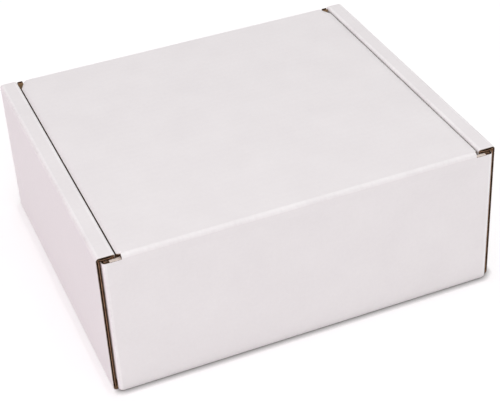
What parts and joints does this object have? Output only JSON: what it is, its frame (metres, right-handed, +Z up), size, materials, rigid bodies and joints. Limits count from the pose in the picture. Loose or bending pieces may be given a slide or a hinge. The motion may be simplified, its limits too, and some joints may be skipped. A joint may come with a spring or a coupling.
{
  "type": "corrugated mailer box",
  "caption": "Closed roll-end corrugated mailer box with double side walls, a hinged lid and a front flap whose ears tuck under the side ledges.",
  "frame": {"origin": "on the surface that the box stands on, at the middle of its outside length and depth", "axes": "+X to the right along the lid's hinge crease, +Y from the front flap to the back wall, +Z up"},
  "size_m": [0.2798, 0.2382, 0.108],
  "materials": {
    "white_board": "satin white liner outside, natural kraft inside and at the cut edges"
  },
  "bodies": {
    "root": {"tray": "white_board", "lid": "white_board"},
    "front_flap": {"front_flap": "white_board"}
  },
  "joints": [
    {"name": "front_flap_hinge", "type": "hinge", "parent": "root", "child": "front_flap", "pos_m": [0, -0.11765, 0.1065], "axis": [-1, 0, 0], "range_deg": [0, 180]}
  ]
}
